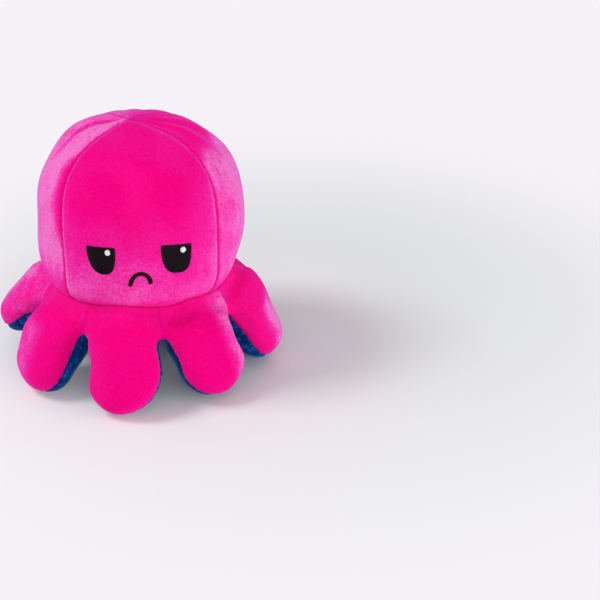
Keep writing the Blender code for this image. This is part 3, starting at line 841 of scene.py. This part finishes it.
def arm_cloth(name, side, part, slot, material, underside):
    """One arm's upper (1) or lower (-1) cloth, with its share of the skirt."""
    local, seams, across = arm_sector(side)
    local[..., 2] += side * SEAM_GAP / 2
    normals = joined_normals(side * normals_of(local), ROOT_ROWS)
    distance, along = nearest_of_two(local, seams)
    run = arm_run(local)
    turn = arm_turn(name)
    place = placed(local, turn)
    relief = ARM_RELIEF * lumps(place, 26 * MM, 5) * smooth(0, 8 * MM, distance)
    relief -= shoulder(distance) + ARM_SEAM_SINK * np.exp(-distance / (5 * MM))
    relief += ARM_PUCKER * puckers(place, along, 7 * MM, 2.5, 25 * MM, 9) * np.exp(-distance / (4 * MM))
    crest = (1 - across**2) * (1 + CREST_LEAN * away_side(name) * across) if side > 0 else 0 * across
    grid = placed(settled(local + normals * relief[..., None], name, run, crest), turn)
    if side > 0:
        grid = under_head(grid, underside)
    grid[..., 2] = np.maximum(grid[..., 2], FOOT_LEVEL)
    # How pale the pile is drawn: partly for its lie and partly as painted sheen on the arm
    nap = arm_nap_and_sheen(grid, run, local[..., 1] / ARM_WIDTH, name) if side > 0 else lining_nap(grid)
    # The seam mark is painted shade in the seam lines
    marks = {"nap": nap, "seam": bump(distance, 0, SEAM_SHADE_WIDTH)}
    normals = placed(normals - HINGE, turn)
    piece = cloth_shell(f"arm_{name}_{part}_skin", grid, normals, material, marks=marks)
    dress(piece, slot, ["head", f"arm_{name}"], f"arm_{name}_{part}", f"skirt_{part}", fill=0.9)
    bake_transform(piece)


def away_side(name):
    """The side of an arm that faces away from the front: -1 or 1."""
    return -1 if name in ("front", "front_left", "left", "back_left") else 1


def arm_nap_and_sheen(points, run, aside, name):
    """How pale the pile is drawn on an arm, partly for its lie and partly as painted sheen, most of all on
    the side that faces away from the front.
    """
    all_over, outer, border, start = ARM_PALENESS[name]
    side = outer * smooth(border - PALE_BORDER, border + PALE_BORDER, away_side(name) * aside)
    side = side * smooth(start * MM, (start + 12) * MM, run)
    neck = 0.05 * smooth(-2 * MM, -12 * MM, run)
    streaks = np.tanh(lumps(points, 11 * MM, 22))
    return np.clip((all_over + side + neck) * (1 + 0.22 * streaks), 0, 1)


def lining_nap(points):
    """How pale the crushed blue pile lies."""
    return 0.3 + 0.25 * np.tanh(lumps(points, 5 * MM, 23))


def arm_fillings(material):
    for name in ARMS:
        across = np.sin(steps(-math.pi / 2, math.pi / 2, 28))
        halves = []
        for side in (1, -1):
            flat, _ = free_arm(side, across, FILLING_DEPTH, rows=16, tip_rows=10, root_rows=10)
            aside = (ARM_WIDTH - FILLING_DEPTH) * across + 0 * flat[..., 0]
            half = np.stack([flat[..., 0], aside, flat[..., 1]], axis=-1)
            run = arm_run(half)
            if side > 0:
                half[..., 2] -= FILLING_HOLLOW * bump(run, HOLLOW_PLACE, HOLLOW_REACH) * (1 - across**2)
            halves.append(placed(settled(half, name, run), arm_turn(name)))
        rows, columns = halves[0].shape[:2]
        points = np.concatenate([half.reshape(-1, 3) for half in halves])
        points[:, 2] = np.maximum(points[:, 2], FILLING_DEPTH)
        faces = grid_faces(rows, columns) + grid_faces(rows, columns, rows * columns)
        piece = mesh_object(f"arm_{name}_filling", points, faces, material)
        dress(piece, "filling", ["head", f"arm_{name}"], f"arm_{name}_stuffing", fill=0.9)
        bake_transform(piece)


# Pocket and the head's filling


def pocket_radius(height):
    """The radius of the pocket's inside at a height."""
    above = np.clip((height - POCKET_WAIST) / POCKET_RISE, 0, 1)
    below = np.clip((POCKET_WAIST - height) / (POCKET_WAIST - POCKET_BASE), 0, 1)
    dome = POCKET_RADIUS * np.sqrt(1 - above**2)
    throat = MOUTH_RADIUS + (POCKET_RADIUS - MOUTH_RADIUS) * (1 + np.cos(math.pi * below)) / 2
    return np.where(height >= POCKET_WAIST, dome, throat)


def pocket_heights(rows):
    """Heights from the top of the pocket to its mouth, close together near the top."""
    upper = POCKET_WAIST + POCKET_RISE * np.cos(steps(math.radians(0.7), math.pi / 2, rows // 2))
    return np.concatenate([upper, steps(POCKET_WAIST, POCKET_BASE, rows - rows // 2)[1:]])


def round_point(radius, height, turn):
    """A point at a radius and height, turned by radians from the front."""
    return np.stack([radius * np.sin(turn), -radius * np.cos(turn), height + 0 * turn], axis=-1)


def pocket_covers(material):
    height = pocket_heights(72)[:, None]
    quarter = math.pi / 4
    across = quarter * np.sin(steps(-math.pi / 2, math.pi / 2, 40))[None, :]
    for number, side in enumerate(("front", "right", "back", "left")):
        turn = 2 * quarter * number + across
        grid = round_point(pocket_radius(height), height, turn)
        normals = -normals_of(grid)
        relief = POCKET_RELIEF * lumps(grid, 22 * MM, 12)
        for seam in (grid[:, 0], grid[:, -1]):
            distance, along = nearest(grid, seam)
            relief -= shoulder(distance, 2.0 * MM, 1.2 * MM)
            pucker = puckers(grid, along, 5 * MM, 2, 20 * MM, 13)
            relief += POCKET_PUCKER * pucker * np.exp(-distance / (3 * MM))
        grid = grid + normals * relief[..., None]
        cover = cloth_shell(f"pocket_lining_{side}", grid, normals, material)
        dress(cover, "blue_plush", ["head"], f"pocket_panel_{side}", fill=0.8)


def set_back(line, depth):
    """A line of points moved by a depth to its right, seen along it."""
    slope = np.gradient(line, axis=0)
    slope /= np.linalg.norm(slope, axis=1, keepdims=True)
    return line + depth * np.stack([slope[:, 1], -slope[:, 0]], axis=-1)


def head_filling(material):
    """The filling between the head's covers, the arms and the pocket."""
    tilt = steps(90.0, neck_tilt(), 60)
    outer = head_point(0 * tilt, tilt) - head_point(0 * tilt, 0 * tilt) * [1, 0, 0]
    outer = np.stack([np.hypot(outer[:, 0], outer[:, 1]), outer[:, 2]], axis=-1)
    outer = set_back(outer, HEAD_FILLING_DEPTH)
    heights = pocket_heights(40)
    inner = set_back(np.stack([pocket_radius(heights), heights], axis=-1), -FILLING_DEPTH)
    outer[0, 0] = inner[0, 0] = 0
    profile = np.concatenate([outer, [(outer[-1, 0] - 8 * MM, POCKET_BASE)], inner[::-1]])
    turns = steps(0, 2 * math.pi, 96)
    grid = round_point(profile[:, :1], profile[:, 1:], turns[None, :])
    points = grid.reshape(-1, 3)
    piece = mesh_object("head_filling", points, grid_faces(*grid.shape[:2]), material)
    dress(piece, "filling", ["head"], "head_stuffing", fill=0.95)


# Embroidery


def head_wall(across, height):
    """A point of the head's cover at an arc across from the face's middle and a height."""
    reach = np.where(height >= HEAD_WAIST, HEAD_RISE, HEAD_DROP)
    share = np.clip(np.abs(height - HEAD_WAIST) / reach, 0, 1)
    fullness = np.where(height >= HEAD_WAIST, UPPER_FULLNESS, LOWER_FULLNESS)
    level = (1 - share**fullness) ** (1 / fullness)
    tilt = np.degrees(np.arctan2(share, level)) * np.sign(height - HEAD_WAIST + 1e-12)
    turn = np.degrees(across / (HEAD_RADIUS * level))
    point = head_point(turn, tilt)
    return point, head_relief(point, turn, tilt) + FULLNESS


def pocket_wall(across, height):
    """A point of the pocket's inside, like head_wall."""
    radius = pocket_radius(height)
    point = round_point(radius, height, across / radius)
    return point, POCKET_RELIEF * lumps(point, 22 * MM, 12)


def stitched(name, wall, outwards, across, height, lift, material, slot, node_name, thickness=1.6 * MM):
    """A stitched patch: a grid of places on a wall, each lifted off the cloth."""
    grid, relief = wall(across, height)
    normals = normals_of(grid)
    away = grid - np.array([0, 0, 1]) * grid
    if np.sum(normals * away) * outwards < 0:
        normals = -normals
    grid = grid + normals * (lift + outwards * relief)[..., None]
    patch = cloth_shell(name, grid, normals, material, thickness)
    dress(patch, slot, ["head"], node_name)


def filled_shape(left, right, threads, dome, columns=24, lift=PATCH_LIFT):
    """Threads side by side from the left edge to the right one, as places across and up and a lift.

    left and right give a point (across, up) for each share from the lowest thread to the highest.
    """
    share = steps(0, 1, threads * 4)
    ends = []
    for edge, seed in ((left, 1), (right, 2)):
        draw = np.random.default_rng(seed).uniform(-1, 1, threads + 1)
        jitter = THREAD_UNEVEN * draw[np.minimum((share * threads).astype(int), threads)]
        points = edge(share)
        points[:, 0] += jitter * smooth(0, 0.12, share)
        ends.append(points)
    over = steps(0, 1, columns)[None, :, None]
    spots = ends[0][:, None, :] * (1 - over) + ends[1][:, None, :] * over
    width = np.abs(ends[1][:, 0] - ends[0][:, 0])[:, None]
    length = np.abs(ends[0][-1, 1] - ends[0][0, 1])
    over = over[..., 0]
    edge = np.minimum(np.minimum(over, 1 - over) * width, np.minimum(share, 1 - share)[:, None] * length)
    near = np.clip(1 - edge / PATCH_ROUNDING, 0, 1)
    sunk = (lift + PATCH_SINK) * (1 - np.sqrt(1 - near**2))
    raised = lift + dome * smooth(0, PATCH_DOME_REACH, edge) - sunk
    ridge = np.abs(np.sin(math.pi * share * threads))[:, None]
    sway = THREAD_SWAY * np.sin(spots[..., 0] / (1.1 * MM) + 9 * share[:, None])
    return spots[..., 0], spots[..., 1], raised + THREAD_RELIEF * ridge + sway


def sleepy_eye(side):
    """The edges of a half-shut eye: a straight lid over a round lower edge."""
    reach, lids, fullness, low = EYE_FORMS[side]

    def edge(width, lid, power):
        def at(share):
            angle = share * math.pi / 2
            across = width * np.sin(angle) ** (2 / power)
            up = 1 - np.cos(angle) ** (2 / power)
            return np.stack([across * MM, (low + (lid - low) * up) * MM], axis=-1)

        return at

    return edge(-reach[0], lids[0], fullness[0]), edge(reach[1], lids[1], fullness[1])


def oval_edges(centre, half_width, half_height, lean=0.0):
    """The left and right edges of an oval that leans by degrees."""
    turn = math.radians(lean)

    def edge(sign):
        def at(share):
            up = -np.cos(math.pi * share)
            across = sign * np.sin(math.pi * share)
            x, y = half_width * across, half_height * up
            right = centre[0] + x * math.cos(turn) + y * math.sin(turn)
            level = centre[1] + y * math.cos(turn) - x * math.sin(turn)
            return np.stack([right, level], axis=-1)

        return at

    return edge(-1), edge(1)


def stroke(half_width, height, width, bend, threads):
    """An arched line of short stitches: bend 1 frowns and -1 smiles."""
    share = steps(0, 1, threads * 4)[:, None]
    over = steps(-1, 1, 8)[None, :]
    angle = math.pi * (1 - share)
    taper = np.sqrt(np.clip(1 - (1 - np.minimum(share, 1 - share) / 0.035).clip(0, 1) ** 2, 0.02, 1))
    reach = over * taper * width / 2
    across = (half_width + reach) * np.cos(angle)
    up = bend * ((height + reach) * np.sin(angle) - height / 2)
    crest = np.sqrt(np.clip(1 - over**2, 0, 1)) * np.sqrt(taper)
    lift = -PATCH_SINK + (PATCH_SINK + PATCH_LIFT + 0.35 * MM) * crest
    return across, up, lift + THREAD_RELIEF * np.abs(np.sin(math.pi * share * threads))


def outer_face(black, white):
    """The half-shut eyes, their glints and the frown on the front cover."""
    for side, middle in EYE_MIDDLES:
        threads = round(EYE_HEIGHT / THREAD_PITCH)
        across, up, lift = filled_shape(*sleepy_eye(side), threads, PATCH_DOME)
        place = (middle + across, EYE_LEVEL + up)
        stitched(f"stitched_eye_{side}", head_wall, 1, *place, lift, black, "black_thread", f"eye_{side}")
        spot = [part * MM for part in GLINT_PLACES[side]]
        edges = oval_edges(spot, GLINT_RADIUS, GLINT_RADIUS * 0.9, 25.0)
        across, up, lift = filled_shape(*edges, 10, 0.2 * MM, 12, PATCH_LIFT + PATCH_DOME + 0.45 * MM)
        place = (middle + across, EYE_LEVEL + up)
        name = f"stitched_glint_{side}"
        stitched(name, head_wall, 1, *place, lift, white, "white_thread", f"glint_{side}")
    threads = round((2 * FROWN_HEIGHT + FROWN_HALF_WIDTH) / THREAD_PITCH)
    across, up, lift = stroke(FROWN_HALF_WIDTH, FROWN_HEIGHT, FROWN_STROKE, 1, threads)
    place = (across - 0.5 * MM, MOUTH_LEVEL + up + 0.06 * across)
    stitched("stitched_frown", head_wall, 1, *place, lift, black, "black_thread", "mouth")


def inner_face(black, white):
    """The round eyes, their glints and the smile inside the pocket."""
    scale = POCKET_RADIUS / HEAD_RADIUS
    for side, middle in EYE_MIDDLES:
        lean = 20.0 if side == "left" else -20.0
        edges = oval_edges((0, 0), scale * EYE_HALF_WIDTH, scale * EYE_HEIGHT / 2, lean)
        across, up, lift = filled_shape(*edges, 20, 0.3 * MM, 16)
        place = (scale * middle + across, POCKET_WAIST + up)
        name = f"inner_eye_{side}"
        stitched(f"stitched_{name}", pocket_wall, -1, *place, lift, black, "black_thread", name)
        spot = (scale * GLINT_PLACE[0], scale * GLINT_PLACE[1])
        edges = oval_edges(spot, scale * GLINT_RADIUS, scale * GLINT_RADIUS)
        across, up, lift = filled_shape(*edges, 6, 0.1 * MM, 8, PATCH_LIFT + 0.7 * MM)
        place = (scale * middle + across, POCKET_WAIST + up)
        name = f"inner_glint_{side}"
        stitched(f"stitched_{name}", pocket_wall, -1, *place, lift, white, "white_thread", name)
    stroke_size = (scale * FROWN_HALF_WIDTH, scale * SMILE_HEIGHT, scale * FROWN_STROKE)
    across, up, lift = stroke(*stroke_size, -1, 16)
    place = (across, POCKET_WAIST - scale * SMILE_DROP + up)
    stitched("stitched_smile", pocket_wall, -1, *place, lift, black, "black_thread", "inner_mouth")


# Materials


def put(socket, value):
    """Links a socket to another node's output, or sets it to a value."""
    if isinstance(value, bpy.types.NodeSocket):
        socket.id_data.links.new(value, socket)
    else:
        socket.default_value = value


def feed(made, values):
    """Fills a node's sockets or its own settings by name; a socket's name here has _ for each space."""
    for name, value in values.items():
        socket = name.replace("_", " ")
        if socket in made.inputs:
            put(made.inputs[socket], value)
        else:
            setattr(made, name, value)


def principled(name, **values):
    """A new material, its node tree and its shader."""
    made = bpy.data.materials.new(name)
    made.use_nodes = True
    shader = made.node_tree.nodes["Principled BSDF"]
    feed(shader, values)
    return made, made.node_tree, shader


def node(tree, kind, *inputs, **values):
    """The outputs of a new node, whose first sockets take the inputs in order."""
    made = tree.nodes.new(kind)
    feed(made, values)
    for socket, value in zip(made.inputs, inputs):
        put(socket, value)
    return made.outputs


def combined(tree, operation, first, second, **values):
    """A number worked out from two others."""
    return node(tree, "ShaderNodeMath", first, second, operation=operation, **values)[0]


def object_place(tree):
    return node(tree, "ShaderNodeTexCoord")["Object"]


def noise(tree, rate, detail, **values):
    """Uneven values from 0 to 1. The rate is to a metre of a Vector, or to the piece's box without one."""
    return node(tree, "ShaderNodeTexNoise", Scale=rate, Detail=detail, **values)["Fac"]


def mark(tree, name):
    """The values that mesh_object gave to the points by this name."""
    return node(tree, "ShaderNodeAttribute", attribute_name=name)["Fac"]


def ranged(tree, value, taken, given, **values):
    """A value moved from one span of numbers to another."""
    spans = {"From_Min": taken[0], "From_Max": taken[1], "To_Min": given[0], "To_Max": given[1]}
    return node(tree, "ShaderNodeMapRange", Value=value, **spans, **values)["Result"]


def toned(tree, value, tones):
    """The colour of a value: each tone is a value from 0 to 1 and its colour."""
    made = tree.nodes.new("ShaderNodeValToRGB")
    elements = made.color_ramp.elements
    while len(elements) < len(tones):
        elements.new(0.5)
    for element, (place_along, colour) in zip(elements, tones):
        element.position = place_along
        element.color = (*colour, 1)
    put(made.inputs["Fac"], value)
    return made.outputs["Color"]


def uneven(tree, height, strength, distance, **values):
    """The direction of a surface that is as uneven as the heights say."""
    relief = {"Height": height, "Strength": strength, "Distance": distance}
    return node(tree, "ShaderNodeBump", **relief, **values)["Normal"]


def velvet(name, tones, sheen_tint, speckle):
    """Short pile: from its deep tone to its palest as the mark of the pile's lie and painted sheen says,
    mottled, with painted shade in the seams.
    """
    made, tree, shader = principled(
        name,
        Roughness=1.0,
        Specular_IOR_Level=0.0,
        Sheen_Weight=SHEEN,
        Sheen_Roughness=SHEEN_ROUGHNESS,
        Sheen_Tint=(*sheen_tint, 1.0),
        Subsurface_Weight=PILE_GLOW,
        Subsurface_Radius=PILE_GLOW_REACH,
        Subsurface_Scale=PILE_LENGTH,
    )
    place = object_place(tree)
    tufts = noise(tree, TUFT_RATE, 3.0, Roughness=0.65, Vector=place)
    fibres = noise(tree, FIBRE_RATE, 2.0, Vector=place)
    mottle = ranged(tree, tufts, (0.3, 0.7), (1 - speckle, 1 + speckle))
    sheen_and_lie = combined(tree, "ADD", mark(tree, "nap"), LEAST_PALENESS)
    paleness = combined(tree, "MULTIPLY", sheen_and_lie, mottle, use_clamp=True)
    grain = ranged(tree, tufts, (0.3, 0.62), (GRAIN_SHADE, 1.0))
    # Painted shade in the seam lines
    dark = ranged(tree, mark(tree, "seam"), (0.0, 1.0), (1.0, SEAM_SHADE))
    shade = combined(tree, "MULTIPLY", grain, dark)
    tint = toned(tree, paleness, tones)
    colour = node(tree, "ShaderNodeVectorMath", tint, operation="SCALE", Scale=shade)[0]
    coarse = uneven(tree, tufts, 0.55, 0.6 * MM)
    feed(shader, {"Base_Color": colour, "Normal": uneven(tree, fibres, 0.5, 0.25 * MM, Normal=coarse)})
    return made


def fibre_filling():
    made, tree, shader = principled("polyester_filling", Roughness=0.95)
    fluff = noise(tree, 400.0, 6.0)
    colour = toned(tree, fluff, ((0.0, (0.7, 0.7, 0.69)), (1.0, (0.92, 0.92, 0.91))))
    feed(shader, {"Base_Color": colour, "Normal": uneven(tree, fluff, 0.6, 1.0 * MM)})
    return made


def thread(name, colour):
    """Shiny embroidery thread, with small changes of colour from stitch to stitch."""
    made, tree, shader = principled(name, Roughness=0.5, Specular_IOR_Level=0.08)
    stitches = noise(tree, 700.0, 3.0, Vector=object_place(tree))
    tones = ((0.3, [0.7 * part for part in colour]), (0.7, colour))
    twist = uneven(tree, stitches, 0.3, 0.08 * MM)
    feed(shader, {"Base_Color": toned(tree, stitches, tones), "Normal": twist})
    return made


# Studio


def faced(holder, ahead):
    """Turns a lamp or the camera so that it looks ahead, and puts it in the scene."""
    holder.rotation_euler = ahead.to_track_quat("-Z", "Y").to_euler()
    bpy.context.scene.collection.objects.link(holder)


def studio():
    scene = bpy.context.scene
    scene.view_settings.view_transform = "Standard"
    corners = [(x * FLOOR_REACH, y * FLOOR_REACH, 0.0) for x, y in ((-1, -1), (1, -1), (1, 1), (-1, 1))]
    mesh_object("floor", corners, [(0, 1, 2, 3)], floor_finish())
    world = bpy.data.worlds.new("studio")
    scene.world = world
    world.use_nodes = True
    feed(world.node_tree.nodes["Background"], {"Color": WORLD_COLOUR, "Strength": WORLD_STRENGTH})
    for name, place, size, power in LAMPS:
        lamp = bpy.data.lights.new(name, "AREA")
        lamp.size = size
        lamp.energy = power
        holder = bpy.data.objects.new(name, lamp)
        holder.location = place
        faced(holder, Vector(LAMP_TARGET) - Vector(place))


def floor_finish():
    """A pale matt floor, which is seen brighter the further it is from the toy's shadow."""
    made, tree, shader = principled(
        "pale_floor", Roughness=0.6, Base_Color=FLOOR_COLOUR, Specular_IOR_Level=0.1
    )
    aside = node(tree, "ShaderNodeVectorMath", object_place(tree), SHADOW_PLACE, operation="SUBTRACT")[0]
    away = node(tree, "ShaderNodeVectorMath", aside, operation="LENGTH")["Value"]
    reach = ranged(tree, away, SHADOW_REACH, (0.0, FLOOR_GLOW), interpolation_type="SMOOTHSTEP")
    path = node(tree, "ShaderNodeLightPath")
    seen = combined(tree, "MAXIMUM", path["Is Camera Ray"], path["Is Glossy Ray"])
    through = combined(tree, "MAXIMUM", seen, path["Is Transmission Ray"])
    share = combined(tree, "MULTIPLY", through, reach)
    glow = node(tree, "ShaderNodeEmission", Color=GLOW_COLOUR, Strength=1.0)[0]
    mixed = node(tree, "ShaderNodeMixShader", share, shader.outputs[0], glow)[0]
    put(tree.nodes["Material Output"].inputs["Surface"], mixed)
    return made


def camera():
    lens = bpy.data.cameras.new("camera")
    lens.lens = FOCAL_LENGTH
    lens.sensor_width = SENSOR_WIDTH
    lens.clip_start, lens.clip_end = SEEN_SPAN
    holder = bpy.data.objects.new("camera", lens)
    level = VIEW_DISTANCE * math.cos(VIEW_ELEVATION)
    height = VIEW_TARGET_HEIGHT + VIEW_DISTANCE * math.sin(VIEW_ELEVATION)
    holder.location = (level * math.sin(VIEW_SIDE), -level * math.cos(VIEW_SIDE), height)
    right = math.sin(VIEW_YAW) * math.cos(VIEW_PITCH)
    away = math.cos(VIEW_YAW) * math.cos(VIEW_PITCH)
    faced(holder, Vector((right, away, math.sin(VIEW_PITCH))))
    bpy.context.scene.camera = holder


PINK = velvet(
    "pink_velvet",
    tones=(
        (0.0, (0.93, 0.0, 0.225)),
        (0.3, (0.94, 0.017, 0.345)),
        (0.6, (0.955, 0.075, 0.46)),
        (1.0, (0.98, 0.2, 0.6)),
    ),
    sheen_tint=(1.0, 0.15, 0.9),
    speckle=0.36,
)
# Its tones are darker than the blue cloth is in full light: partly painted shade of the arms' undersides
BLUE = velvet(
    "blue_velvet",
    tones=((0.0, (0.001, 0.018, 0.105)), (0.5, (0.002, 0.05, 0.26)), (1.0, (0.03, 0.2, 0.58))),
    sheen_tint=(0.3, 0.6, 1.0),
    speckle=0.95,
)
BLACK = thread("black_embroidery", (0.0065, 0.0015, 0.0045))
WHITE = thread("white_embroidery", (0.9, 0.9, 0.9))
FILLING = fibre_filling()
head_covers(PINK)
arm_covers(PINK, BLUE)
arm_fillings(FILLING)
pocket_covers(BLUE)
head_filling(FILLING)
outer_face(BLACK, WHITE)
inner_face(BLACK, WHITE)
camera()
studio()
